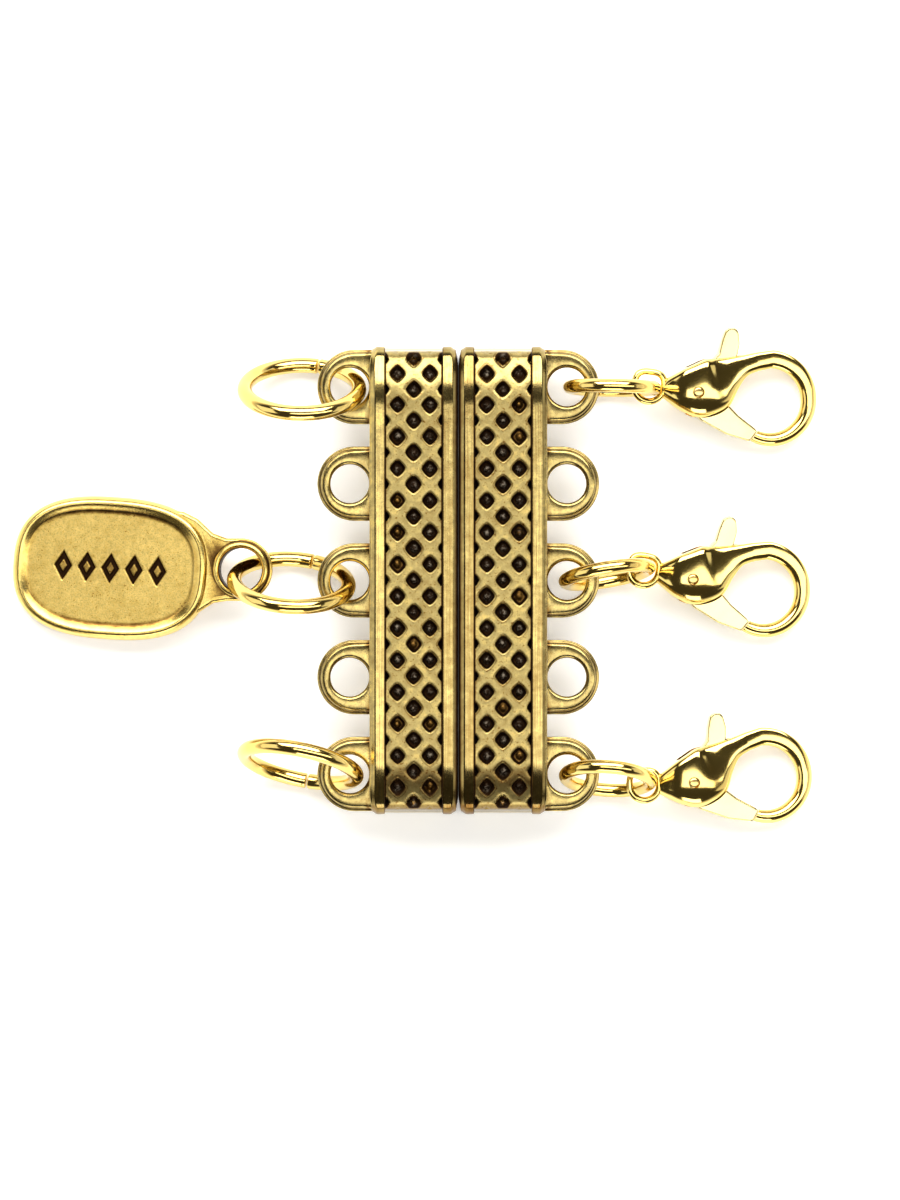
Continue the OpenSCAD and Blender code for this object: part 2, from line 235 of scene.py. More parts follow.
def metal(start, colour, metallic, roughness, height, depth):   # the shader, and bumps that are depth mm deep
    normal = start.make("ShaderNodeBump", None, {"Strength": 1.0, "Distance": depth * mm, "Height": height})
    shader = start.make("ShaderNodeBsdfPrincipled", None, {
        "Base Color": colour, "Metallic": metallic, "Roughness": roughness, "Normal": normal})
    start.make("ShaderNodeOutputMaterial", None, {"Surface": shader})


antique = {
    "shine": (0.78, 0.56, 0.16), "worn": (0.38, 0.295, 0.11), "gold": (0.29, 0.208, 0.07),
    "brown": (0.15, 0.078, 0.018), "black": (0.022, 0.010, 0.004), "soot": (0.22, 0.185, 0.14),
    "tones": {"shine": 0.0, "worn": 0.2, "gold": 0.32, "brown": 0.62, "black": 0.94},      # darkness at which each comes
    "grain": 9000, "fleck": 5600, "mottle": 1900, "cloud": 320, "streaks": (14000, 170, 3000),   # spots in a metre
    "flecks": (0.54, 0.74), "ash": (0.45, 0.60),              # the noise that makes flecks, and those in the soot
    "sootShare": (0.08, 1.2),                                 # of soot between its flecks, more on them
    "darken": (0.42, 0.30, 0.8, 0.42), "base": 0.2,           # by mottle, cloud, streaks and flecks, and everywhere
    "vary": (0.30, 0.9), "grained": 0.34,                     # brightness by grain, streaks and flecks
    "raise": (0.25, 0.8, 0.3, 1.4, 5.0), "bump": 0.005,       # height of grain, mottle, streaks, flecks and soot
    "rough": 0.15, "roughBy": (0.10, 0.16), "satin": 0.18,    # of all, by grain and streaks, of the matt skin
    "sooty": (0.45, 0.9, 0.34),                               # the darkness, antiquing and painted shade together, over which it grows rougher, and how much
}


def antiqueGold(name, q):
    # gold where the darkness (antiquing, with painted shade mixed in) is 0, through brown to black where it is 1, and
    # brighter below 0; soot greys the floors of the pits; brushed gives fine streaks along Y, and satin a matt, mottled
    # skin
    made, start, place = newMaterial(name)
    patina, soot, brushed, satin = (start.make("ShaderNodeAttribute", {"attribute_name": key}, None, 2)
                                    for key in ("patina", "soot", "brushed", "satin"))
    grain, fleck, mottle, cloud = (place.noise(q[key], 3.0, 0.6) for key in ("grain", "fleck", "mottle", "cloud"))
    streak = place.stretched(q["streaks"]).noise(1.0, 3.0, 0.6)
    byMottle, byCloud, byStreak, byFleck = q["darken"]
    dark = patina + (mottle - 0.5) * byMottle + (cloud - 0.5) * byCloud + (streak - 0.5) * brushed * byStreak
    dark = dark + fleck.between(*q["flecks"]) * satin * byFleck + q["base"]
    colour = dark.ramp([(level, q[tone]) for tone, level in q["tones"].items()])
    least, more = q["sootShare"]
    colour = (soot * (least + fleck.between(*q["ash"]) * more)).blend(colour, q["soot"])
    byGrain, byStreak = q["vary"]
    value = 1.0 + (grain - 0.5) * byGrain + (streak - 0.5) * brushed * byStreak
    colour = colour.shaded(value + (fleck - 0.5) * satin * q["grained"] * 2.0)
    byGrain, byStreak = q["roughBy"]
    rough = q["rough"] + (grain - 0.5) * byGrain + (streak - 0.5) * brushed * byStreak
    low, high, sooty = q["sooty"]
    rough = rough + satin * q["satin"] + patina.between(low, high) * sooty
    ofGrain, ofMottle, ofStreak, ofFleck, ofSoot = q["raise"]
    height = grain * ofGrain + mottle * ofMottle + streak * brushed * ofStreak
    height = height + fleck * satin * ofFleck + fleck * soot * ofSoot
    metal(start, colour, 1.0, rough, height, q["bump"])
    return made


bright = {
    "gold": (0.84, 0.64, 0.21), "warm": (0.83, 0.55, 0.13), "warmer": (0.45, 0.75, 0.5),   # warmer from, to, how much
    "cloud": 420, "dents": 900, "scratches": (2600, 19000, 9000),          # spots in a metre
    "rough": 0.10, "cloudy": 0.06, "scored": (0.62, 0.8, 0.08),            # of all, by clouds, and as warmer
    "raise": (0.8, 0.12), "bump": 0.005,                      # height of dents and scratches
}


def brightGold(name, q):
    # polished plate: warmer in patches, with shallow dents, fine scratches and a slightly uneven shine
    made, start, place = newMaterial(name)
    cloud, dents = place.noise(q["cloud"], 2.0), place.noise(q["dents"], 1.0)
    scratch = place.stretched(q["scratches"]).noise(1.0, 4.0, 0.65)
    low, high, most = q["warmer"]
    colour = (cloud.between(low, high) * most).blend(q["gold"], q["warm"])
    low, high, most = q["scored"]
    rough = q["rough"] + (cloud - 0.5) * q["cloudy"] + scratch.between(low, high) * most
    ofDents, ofScratch = q["raise"]
    metal(start, colour, 1.0, rough, dents * ofDents + scratch * ofScratch, q["bump"])
    return made


nickel = {
    "plate": (0.68, 0.66, 0.62), "dull": (0.42, 0.40, 0.37),
    "cloud": 700, "fine": 6000,
    "rough": 0.28, "bump": 0.004,
}


def nickelPlate(name, q):
    # grey plate, duller in clouds, with a fine uneven skin
    made, start, place = newMaterial(name)
    cloud, fine = place.noise(q["cloud"], 4.0, 0.6), place.noise(q["fine"], 2.0)
    colour = cloud.ramp([(0.35, q["dull"]), (0.6, q["plate"])])
    metal(start, colour, 1.0, q["rough"] + (fine - 0.5) * 0.2, fine, q["bump"])
    return made


castingGold = antiqueGold("castingGold", antique)
tagGold = antiqueGold("tagGold", {
    **antique, "shine": (0.84, 0.62, 0.19), "worn": (0.66, 0.48, 0.14), "gold": (0.57, 0.385, 0.095),
    "rough": 0.18, "grained": 0.75, "fleck": 8000, "bump": 0.007})
ringGold = brightGold("ringGold", {**bright, "rough": 0.11, "gold": (0.82, 0.61, 0.20), "warm": (0.80, 0.50, 0.10)})
claspGold = brightGold("claspGold", bright)
# a paler copy of the clasp gold: painted reflection of the white light that the lever's flat faces catch
leverGoldSheen = brightGold("leverGoldSheen", {**bright, "rough": 0.14, "gold": (0.72, 0.61, 0.28), "warm": (0.72, 0.57, 0.21)})
rivetGold = brightGold("rivetGold", {**bright, "rough": 0.2, "gold": (0.72, 0.53, 0.2)})
magnetNickel = nickelPlate("magnetNickel", nickel)
print("materials made")


# The two bars

bar = {
    "width": 5.72, "rail": 1.0, "bevel": (0.36, 0.17), "edge": 0.08, "lip": 0.07, "crown": 0.015,   # the section
    "drop": 0.30,                                             # of the band below the rails
    "bendStart": 11.3, "bendDrop": 0.6, "round": 0.8, "foot": 0.36,        # the bent-down ends
    "notch": (0.14, 1.3),                                     # how far both sides stand back there, over what length
    "meet": (0.026, 0.7, 0.5),                                # how much the mating faces near, how far down, over what
    "step": 0.07, "wallSteps": 12, "underStep": 0.6, "bandSteps": 58,
    "sideRings": (0.2, 0.42, 0.66, 0.92), "slit": 2.8,        # rings of a side, and where its slit ends before the end
    "pitch": 2.065, "column": 1.05, "pit": (0.485, 0.53), "power": 1.3,    # the pits' lattice and outline
    "deep": 0.38, "bump": 0.22, "ridge": 0.03,                # their depths
    "jitter": 0.02, "uneven": 0.06, "seed": 11,               # and how uneven they are
    "pocket": (0.02, 0.05),                                   # room round a magnet and behind it
}
loop = {
    "ledge": 0.22, "ledgeTop": 0.20, "inner": 0.22, "outer": 0.20, "lip": 0.08, "thick": 0.6,   # the section
    "root": 0.4, "flank": 2.42, "bowCentre": 0.98, "count": 5, "around": 88,               # the outline
}
antiquingAndShade = {                                      # how dark the antiquing is, with painted shade and a painted dark reflection among the entries; below 0 it is rubbed bright
    # on the next line: a painted dark reflection across the band's lower bend (darkness, place along Y), tip is painted
    # shade on the lower end's top, outline and crease are antiquing, and band is rubbed brighter
    "paintedDarkReflection": (0.26, -12.75), "tip": 0.27, "outline": 0.44, "crease": 0.85, "band": -0.06,
    # groove and bore are antiquing; root and besideLoop darken where the loops meet the bar, antiquing in that corner
    # and painted shade; loop is rubbed bright
    "groove": 0.4, "bore": 0.3, "root": 0.8, "loop": -0.2, "besideLoop": 0.55,
    "rails": {"left": (0.09, 0.0), "right": (0.12, 0.06)},    # painted shade on the inner and the outer rail, more on the right bar
    "seam": (0.95, 0.34),                                     # painted shade in the seam: the mating face near its top and lower down
    "gilt": 0.45, "loopSatin": 0.3,
}


def barOutline(q, length, height):
    # side outline once round: flat top, parabola down to the end's arc, wall, foot arc and underside, then mirrored
    half = length / 2
    span = half - q["round"] - q["bendStart"]
    steep = np.arctan(2 * q["bendDrop"] / span)
    radius = q["round"] / (1 - np.sin(steep))
    flat = np.arange(0, q["bendStart"], q["step"])
    u = np.linspace(0, 1, int(span / q["step"]))
    a = np.linspace(steep, np.pi / 2, 18)[1:]
    wallTop = height - q["bendDrop"] - radius * np.cos(steep)
    down = np.linspace(wallTop, q["foot"], q["wallSteps"])[1:]
    b = arc(0, 90, 6)[1:]
    under = np.linspace(half - q["foot"], 0, int(half / q["underStep"]))[1:]
    quarter = np.vstack([
        np.stack([flat, np.full_like(flat, height)], 1),
        np.stack([q["bendStart"] + u * span, height - q["bendDrop"] * u * u], 1),
        np.stack([half - radius * (1 - np.sin(a)), wallTop + radius * np.cos(a)], 1),
        np.stack([np.full_like(down, half), down], 1),
        np.stack([half - q["foot"] * (1 - np.cos(b)), q["foot"] * (1 - np.sin(b))], 1),
        np.stack([under, np.zeros_like(under)], 1)])
    outline = np.vstack([quarter, (quarter * [-1, 1])[-2:0:-1]])
    along = np.roll(outline, -1, 0) - np.roll(outline, 1, 0)
    normal = np.stack([-along[:, 1], along[:, 0]], 1) / np.linalg.norm(along, axis=1)[:, None]
    return outline, normal, wallTop


def barColumns(q):
    # section across the bar: place across, depth below the top, share of the band's drop, and 1 on the band
    a = arc(0, 90, 4)
    wide, tall, edge, lip = q["bevel"][0], q["bevel"][1], q["edge"], q["lip"]
    bevelX = np.linspace(edge, wide, 5)
    topX = np.linspace(wide, q["rail"] - lip, 8)[1:-1]
    wall = np.array([0.3, 0.65, 1.0])
    x = np.concatenate([[0], edge * (1 - np.cos(a)), bevelX[1:-1], [wide - 0.04, wide + 0.05], topX,
                        q["rail"] - lip * (1 - np.sin(a)), q["rail"] + 0.012 * wall])
    slope = tall * (1 - (bevelX[1:-1] - edge) / (wide - edge))
    depth = np.concatenate([[tall + 2.2 * edge], tall + edge * (1 - np.sin(a)), slope, [0.022, 0.004],
                            q["crown"] * ((topX - wide) / (q["rail"] - wide)) ** 2, q["crown"] + lip * (1 - np.cos(a)),
                            np.full(3, q["crown"] + lip)])
    share = np.concatenate([np.zeros(len(x) - 3), wall])
    bandX = np.linspace(q["rail"] + 0.05, q["width"] - q["rail"] - 0.05, q["bandSteps"])
    full = np.full(len(bandX), q["crown"] + lip)
    onBand, offBand = np.ones(len(bandX)), np.zeros(len(x))
    return (np.concatenate([x, bandX, q["width"] - x[::-1]]), np.concatenate([depth, full, depth[::-1]]),
            np.concatenate([share, onBand, share[::-1]]), np.concatenate([offBand, onBand, offBand]))


def pitPattern(q):
    # a lattice of rounded diamonds, |dx|^power + |dy|^power = 1, every other one moved half a pitch, with a knob in the
    # middle; each cell has its own size, place and darkness
    draw = np.random.default_rng(q["seed"])
    table = {key: draw.uniform(-1, 1, (40, 13)) for key in ("x", "y", "size", "bump", "dark")}

    def at(x, y):                             # how deep, how dark and how sooty it is at x, y
        p, r = (x - q["width"] / 2) / q["column"], y / (q["pitch"] / 2)
        u, v = np.round((p + r) / 2), np.round((r - p) / 2)
        cell = np.clip(u + v, -20, 19).astype(int) + 20, np.clip(u - v, -6, 6).astype(int) + 6
        own = {key: values[cell] for key, values in table.items()}
        size = 1 + q["uneven"] * own["size"]
        dx = (x - q["width"] / 2 - (u - v) * q["column"] - q["jitter"] * own["x"]) / (q["pit"][0] * size)
        dy = (y - (u + v) * q["pitch"] / 2 - q["jitter"] * own["y"]) / (q["pit"][1] * size)
        ring = (np.abs(dx) ** q["power"] + np.abs(dy) ** q["power"]) ** (1 / q["power"])
        middle = np.hypot(dx + 0.14 * own["x"], dy + 0.14 * own["y"])
        knob = (0.75 + 0.25 * own["bump"]) * soften(middle, 0.70, 0.06) * soften(ring, 0.95, 0.7)
        hollow = q["deep"] * soften(ring, 1.08, 0.76) - q["bump"] * knob + q["ridge"] * soften(ring, 1.5, 1.0)
        gilt = soften(own["dark"], 0.76, 0.86)
        outline = antiquingAndShade["outline"] * soften(np.abs(ring - 1.28), 0.11, 0.02) * soften(own["bump"], -0.3, 0.6)
        patina = np.maximum(soften(ring, 1.12, 0.97) * (1 - antiquingAndShade["gilt"] * gilt * soften(ring, 0.8, 0.6)), outline)
        soot = soften(middle, 0.62, 0.12) * (1 - gilt) * (0.66 + 0.34 * own["bump"])
        return hollow, patina, soot
    return at


def barShell(q, length, height, pits):
    # the section carried round the side outline along its normals, then each side filled in to a narrow slit
    outline, normal, wallTop = barOutline(q, length, height)
    x, depth, share, band = barColumns(q)
    y, z = outline[:, :1], outline[:, 1:]
    half = length / 2
    upper = soften(z, wallTop - 1.4, wallTop + 0.1)
    hollow = pits(x[None, :], y)[0]
    fade = upper * soften(np.abs(y), half, half - 0.4) * (z > wallTop)
    cut = depth + upper * share * (q["drop"] - q["crown"] - q["lip"]) + hollow * band * fade

    def standBack(y):                         # how far both sides stand back near the ends
        back, over = q["notch"]
        return back * soften(np.abs(y), half - over, half)

    def seamSide(y, z):                       # the mating face stands back near the ends, and comes nearer lower down
        near, down, over = q["meet"]
        return standBack(y) - near * soften(z, height - down, height - down - over)

    across = x + standBack(y) * (soften(x, q["rail"], 0) - soften(x, q["width"] - q["rail"], q["width"]))
    across = np.where(x < 0.03, x + seamSide(y, z), across)
    grid = np.stack([across, y - normal[:, :1] * cut, z - normal[:, 1:] * cut], -1)
    rows = numbered(grid)
    points, faces = [grid.reshape(-1, 3)], belts(rows.T)
    for column in (0, -1):
        rim = grid[:, column]
        slitY = np.clip(rim[:, 1], q["slit"] - half, half - q["slit"])
        slit = np.stack([rim[:, 0], slitY, np.full(len(rim), height / 2)], 1)
        inner = np.stack([rim + (slit - rim) * t for t in q["sideRings"]])
        innerY, innerZ = inner[..., 1], inner[..., 2]
        inner[..., 0] = seamSide(innerY, innerZ) if column == 0 else q["width"] - standBack(innerY)
        side = numbered(inner, sum(len(p) for p in points))
        points.append(inner.reshape(-1, 3))
        faces += belts(np.vstack([rows[:, column], side])) + [side[-1].tolist()]
    return np.vstack(points), faces


def loopReach(q, centre, angle):
    # from the hole's centre to the loop's outside in each direction: a half round, then straight flanks to the root
    cos, sin = np.cos(angle), np.sin(angle)
    back = centre - q["bowCentre"]
    inside = -back * cos + np.sqrt(q["flank"] ** 2 - (back * sin) ** 2)
    onFlank = q["flank"] / np.maximum(np.abs(sin), 1e-6)
    reach = np.where(onFlank * cos < -back, onFlank, inside)
    limit = (centre + q["root"]) / np.maximum(-cos, 1e-6)
    return np.where(cos < 0, np.minimum(reach, limit), reach)


def eyeShell(q, hole, reach, count):
    # a cast eye: a rounded band round the hole with a lower ledge outside it, the same above and below
    angle = np.linspace(0, 2 * np.pi, count, endpoint=False)
    outside = reach(angle)
    a = arc(0, 90, 5)
    edge = outside - q["ledge"]
    rise, fall, lip = q["inner"], q["outer"], q["lip"]
    radius = [hole + rise * (1 - np.cos(t)) + 0 * angle for t in a]
    level = [q["thick"] - rise * (1 - np.sin(t)) for t in a]
    for t in (0.35, 0.65):
        radius.append(hole + rise + (edge - fall - hole - rise) * t)
        level.append(q["thick"])
    radius += [edge - fall * (1 - np.sin(t)) for t in a]
    level += [q["thick"] - 0.02 - fall * (1 - np.cos(t)) for t in a]
    radius += [edge + 0.015, edge + 0.05, outside - lip]
    level += [q["ledgeTop"] + 0.03, q["ledgeTop"], q["ledgeTop"]]
    radius += [outside - lip * (1 - np.sin(t)) for t in a[1:]]
    level += [q["ledgeTop"] - lip * (1 - np.cos(t)) for t in a[1:]]
    radius, level = np.array(radius + radius[::-1]), np.array(level + [-value for value in level[::-1]])
    return tube(np.stack([radius * np.cos(angle), radius * np.sin(angle), level[:, None] + 0 * angle], -1)
                .transpose(1, 0, 2), closed=True)


def lathe(profile, count, axis):
    # a profile of [along, radius] turned about an axis through the origin
    angle = np.linspace(0, 2 * np.pi, count, endpoint=False)
    along, radius = np.array(profile).T[:, :, None]
    rings = [radius * np.cos(angle), radius * np.sin(angle), along + 0 * angle]
    order = {"x": (2, 0, 1), "z": (0, 1, 2)}[axis]
    return tube(np.stack([rings[k] for k in order], -1))


def moved(shell, shift):                      # a skin shifted as it is
    return shell[0] + shift, shell[1]


def ageBar(piece, side, length, height, pits, rows, hole):
    # how dark each point is: the antiqued pits, a painted dark reflection across the lower bend and painted shade on
    # the lower end's top, then antiqued creases, the loops (antiquing and painted shade where they meet the bar),
    # painted shade on the rails and painted shade in the seam on the mating face
    holeX, holeZ, holeR, web = hole
    half, width, rail = length / 2, bar["width"], bar["rail"]
    x, y, z = pointsOf(piece).T
    _, dark, soot = pits(x, y)
    onTop = soften(z, height - 1.5, height - 1.2) * (x < width)
    onBand = onTop * (x > rail + 0.02) * (x < width - rail - 0.02)
    ends = soften(np.abs(y), half + 0.05, half - 0.3)
    # painted reflection: the band darkened in a strip across the lower bend, where it mirrors a dark thing
    reflectionDarkness, reflectionY = antiquingAndShade["paintedDarkReflection"]
    paintedDarkReflection = reflectionDarkness * soften(np.abs(y - reflectionY), 1.1, 0.2)
    dark, soot = np.maximum(dark, paintedDarkReflection) * onBand * ends, soot * onBand * ends
    # painted shade: the rounded top of the -Y end alone is darkened
    tip = antiquingAndShade["tip"] * soften(y, 0.9 - half, 0.5 - half) * soften(z, height - 2.6, height - 2.0) * (x < width)
    crease = np.minimum(np.abs(x - rail - 0.02), np.abs(width - rail - 0.02 - x))
    crease = antiquingAndShade["crease"] * soften(crease, 0.10, 0.02) * onTop * (z < height + 0.1)
    dark = np.maximum.reduce([dark, tip, crease])

    px, py = x - holeX, y - rows[np.argmin(np.abs(y[:, None] - rows), axis=1)]
    radius, outside = np.hypot(px, py), loopReach(loop, web, np.arctan2(py, px))
    onLoop = x > width + 0.01
    groove = soften(np.abs(outside - radius - loop["ledge"] + 0.03), 0.10, 0.02) * soften(np.abs(z - holeZ), 0.62, 0.4)
    bore = soften(radius, holeR + 0.12, holeR + 0.01)
    # darker where a loop meets the bar, on the loop's root and on the bar's side beside it: antiquing in that corner,
    # and painted shade
    root = soften(x, width + 0.45, width) * soften(np.abs(py), 1.2, 2.3)
    onEye = np.maximum.reduce([antiquingAndShade["groove"] * groove, antiquingAndShade["bore"] * bore, antiquingAndShade["root"] * root]) + antiquingAndShade["loop"]
    beside = np.hypot(np.maximum(np.abs(py) - 1.9, 0), np.maximum(np.abs(z - holeZ) - 0.3, 0))
    dark = np.where(onLoop, onEye, dark)
    dark = np.where((x > width - 0.02) & ~onLoop, antiquingAndShade["besideLoop"] * soften(beside, 0.9, 0.1), dark)

    # painted shade: the rails darkened, by different amounts on the two bars
    inner, outer = antiquingAndShade["rails"][side]
    dark = dark + inner * (x < rail) + outer * (x > width - rail) * (x < width) + antiquingAndShade["band"] * onBand
    # painted shade in the narrow seam between the halves: the mating face and the edge beside it darkened, most near
    # the top
    nearTop, lower = antiquingAndShade["seam"]
    low = (x < 0.19) * (np.abs(y) < half - 0.1) * soften(z, height - 0.9, height - 1.3)
    dark = np.maximum(dark, nearTop * soften(x, 0.20, 0.06) * (1 - low) + lower * low)
    # antiquing and painted shade together, as one darkness
    mark(piece, "patina", dark)
    mark(piece, "soot", soot)
    mark(piece, "brushed", soften(z, height - 1.3, height - 0.6) * (1 - onBand) * (x < width))
    mark(piece, "satin", np.maximum(onBand, antiquingAndShade["loopSatin"] * onLoop))


def buildBar(side, sign):
    # the shell with a row of cast eyes joined on and the magnets' pockets cut out, made with its seam at x 0 and its
    # loops towards +X, then mirrored for the left
    low, high = nodeBox(side + "_bar")
    length, height = high[1] - low[1], high[2] - low[2]
    seam = -high[0] if sign < 0 else low[0]
    hole = bores["loop_" + side + "_2"]
    holeX, pitch, holeZ = abs(hole["pos_m"][0]) / mm - seam, hole["pos_m"][1] / mm, hole["pos_m"][2] / mm
    holeR, web = hole["dims"]["r_mm"], holeX - bar["width"]
    pits = pitPattern({**bar, "seed": bar["seed"] + (sign > 0)})
    piece = solid("cast_bar_" + side, barShell(bar, length, height, pits))
    eye = eyeShell(loop, holeR, lambda angle: loopReach(loop, web, angle), loop["around"])
    rows = (np.arange(loop["count"]) - (loop["count"] - 1) / 2) * pitch
    change(piece, together(*(moved(eye, [holeX, y, holeZ]) for y in rows)), "UNION")
    pockets = []
    for number in (1, 2, 3):
        first, last = nodeBox(f"{side}_magnet_{number}")
        middle, around, behind = (first + last) / 2, *bar["pocket"]
        radius, deep = (last[1] - first[1]) / 2 + around, last[0] - first[0] + behind
        pockets.append(moved(lathe([(-0.5, radius), (deep, radius)], 96, "x"), [0, middle[1], middle[2]]))
    change(piece, together(*pockets), "DIFFERENCE")
    ageBar(piece, side, length, height, pits, rows, (holeX, holeZ, holeR, web))
    settle(piece, np.diag([sign, 1, 1]), [sign * seam, 0, 0], side + "_half", side + "_bar",
           castingGold, 55)


buildBar("left", -1)
buildBar("right", 1)
for side in ("left", "right"):
    for number in (1, 2, 3):
        magnet = frame["nodes"][f"{side}_magnet_{number}"]
        magnet.data.materials.clear()
        magnet.data.materials.append(magnetNickel)
print("bars made")


# Jump rings

rings = {                                     # lean about X, turn about Z and place of the cut, in degrees
    "left_ring_top": (116, 0, -73), "tag_ring": (114.7, -3.5, -69), "left_ring_bottom": (74, -12, -80),
    "link_top": (88, -1, -110), "link_middle": (81, 9.5, -110), "link_bottom": (73, -4, -110),
}
wire = {
    "large": (8.4, 1.0), "small": (6.4, 0.9), "cut": 0.12, "edge": 0.08,   # outside and wire of each kind, and the cut
    "inside": 0.002,                          # how much smaller than the node, so that no point stands out of it
    "steps": 220, "sides": 32,
}


def ringShell(q, outer, thick):
    # a round wire carried round an arc that stops short of closing, its two ends flat with rounded edges
    radius, gap = (outer - thick) / 2, q["cut"]
    a = arc(0, 90, 4)
    shrink = thick / 2 - q["edge"] * (1 - np.cos(a[::-1]))
    inset = q["edge"] * (1 - np.sin(a[::-1]))
    total = 2 * np.pi * radius - gap
    middle = np.linspace(q["edge"], total - q["edge"], q["steps"])[1:-1]
    along = np.concatenate([inset, middle, total - inset[::-1]])
    size = np.concatenate([shrink, np.full(len(middle), thick / 2), shrink[::-1]])
    t = (along / radius)[:, None]
    b = np.linspace(0, 2 * np.pi, q["sides"], endpoint=False)
    reach = radius + size[:, None] * np.cos(b)
    return tube(np.stack([reach * np.cos(t), reach * np.sin(t), size[:, None] * np.sin(b) + 0 * t], -1))


for node, (lean, turn, cut) in rings.items():
    kind = "small" if node.startswith("link") else "large"
    outer, thick = wire[kind]
    low, high = nodeBox(node)
    half = np.degrees(wire["cut"] / (outer - thick))
    matrix = turned("z", turn) @ turned("x", lean) @ turned("z", cut + half)
    piece = solid("wire_" + node, ringShell(wire, outer - wire["inside"], thick - wire["inside"]))
    body = "right_half" if kind == "small" else "left_half"
    settle(piece, matrix, (low + high) / 2, body, node, ringGold, 50)
print("jump rings made")


# Lobster clasps

clasp = {
    "pivot": 3.07, "rivet": 0.37, "eye": (0.97, 0.45),        # from the eye's middle, along +X
    "eyeSquare": 3.0, "eyeReach": 1.13, "eyeSteps": (72, 24),              # its upper half's power and farthest corner
    "bow": (7.9, 2.745, 2.41), "bowTurn": (92, 200),          # centre and radii, its start and turn
    "bowWire": (0.6, 0.18, 0.635, 0.14), "bowFlat": (0.9, 0.4),            # half sizes and their loss, and its flats
    "power": (4.0, 10.0), "crown": 0.08,                      # full corners and crowned faces
    "slotThick": 1.12, "hub": 1.25, "root": (2.05, -110, 118), "far": 6.0,                 # slot: radii about the pivot
    "gateSweep": (-100, 28), "tabSweep": (35, 100), "slotEnd": 5.75,
    "tip": 4.8, "tipCorner": (5.5, -1.4),                     # where the bow ends before the gate's tip
    "sides": 96, "steps": 14, "bowSteps": 64,
}
bodyRows = np.array([                         # along, across, heading, half width, half thickness, flatness, fall
    (0.95, 0.00, 0, 0.62, 0.54, 0.0, 0.00), (1.40, 0.02, 0, 0.90, 0.78, 0.4, 0.05),
    (2.10, 0.05, 2, 1.35, 1.16, 0.9, 0.18), (3.00, 0.12, 6, 1.76, 1.41, 1.0, 0.22),
    (3.80, 0.35, 14, 1.88, 1.44, 1.0, 0.22), (4.60, 0.78, 25, 1.68, 1.19, 1.0, 0.12),
    (5.25, 1.48, 30, 1.12, 1.00, 1.0, 0.08), (6.00, 2.08, 25, 0.72, 0.86, 1.0, 0.08),
    (6.85, 2.46, 16, 0.62, 0.70, 0.9, 0.08)])


def throughRows(rows, steps):                 # a smooth curve through all rows of a table
    n = len(rows)
    a, b, c, d = (rows[np.clip(np.arange(n - 1) + k, 0, n - 1)][:, None] for k in (-1, 0, 1, 2))
    u = np.linspace(0, 1, steps, endpoint=False)[None, :, None]
    curve = 0.5 * (2 * b + (c - a) * u + (2 * a - 5 * b + 4 * c - d) * u ** 2 + (3 * b - a - 3 * c + d) * u ** 3)
    return np.vstack([curve.reshape(-1, rows.shape[1]), rows[-1:]])


def claspBody(q):
    # sections along the body's rows, oval or, where they are flat, with full corners and faces that fall off more
    # towards the mouth; then round the bow on an arc whose radius shrinks to the tip
    centre, radius, tipRadius = q["bow"]
    u = np.linspace(0, 1, q["bowSteps"])
    start, turn = q["bowTurn"]
    a, r = np.radians(start - turn * u), radius + (tipRadius - radius) * u ** 2
    wide, wideLoss, thick, thickLoss = q["bowWire"]
    flat = q["bowFlat"][0] * soften(u, q["bowFlat"][1], 0)
    bowRows = np.stack([centre + r * np.cos(a), r * np.sin(a), np.degrees(a) - 90, wide - wideLoss * u,
                        thick - thickLoss * u, flat, q["crown"] * flat], 1)
    x, y, heading, wide, thick, flat, fall = np.vstack([throughRows(bodyRows, q["steps"]), bowRows]).T[:, :, None]
    b, h = np.linspace(0, 2 * np.pi, q["sides"], endpoint=False), np.radians(heading)
    power = 2 + (np.where(np.cos(b) < 0, *q["power"]) - 2) * flat
    reach = (np.abs(np.cos(b)) ** power + np.abs(np.sin(b)) ** power) ** (-1 / power)
    across, level = reach * np.cos(b), reach * np.sin(b)
    level = level * (1 - np.where(np.cos(b) < 0, fall, q["crown"] * flat) * across ** 2)
    across = across * wide
    return tube(np.stack([x - np.sin(h) * across, y + np.cos(h) * across, thick * level], -1))


def claspEye(q):                              # a wire ring, rounder below and squarer above
    radius, thick = q["eye"]
    a, b = (np.linspace(0, 2 * np.pi, n, endpoint=False) for n in q["eyeSteps"])
    power = np.where(np.sin(a) > 0, q["eyeSquare"], 2.0)
    span = (np.abs(np.cos(a)) ** power + np.abs(np.sin(a)) ** power) ** (-1 / power)
    reach = (radius * np.minimum(span, q["eyeReach"]))[:, None] + thick / 2 * np.cos(b)
    a = a[:, None]
    return tube(np.stack([reach * np.cos(a), reach * np.sin(a), thick / 2 * np.sin(b) + 0 * a], -1), closed=True)


def slab(outline, thick):                     # a flat outline given a thickness
    rings = np.stack([np.column_stack([outline, np.full(len(outline), z)]) for z in (-thick / 2, thick / 2)])
    return tube(rings)


def slotOutline(q):                           # the slot as a distance from the pivot for each direction
    angle = np.linspace(-180, 180, 721)[:-1] + 0.25
    reach = np.full(len(angle), q["hub"])
    wide, start, end = q["root"]
    reach = np.where((angle > start) & (angle < end), wide, reach)
    for start, end in (q["gateSweep"], q["tabSweep"]):
        reach = np.where((angle > start) & (angle < end), q["far"], reach)
    a = np.radians(angle)
    limit = (q["slotEnd"] - q["pivot"]) / np.maximum(np.cos(a), 1e-6)
    reach = np.where(np.cos(a) > 0, np.minimum(reach, limit), reach)
    return np.column_stack([q["pivot"] + reach * np.cos(a), reach * np.sin(a)])


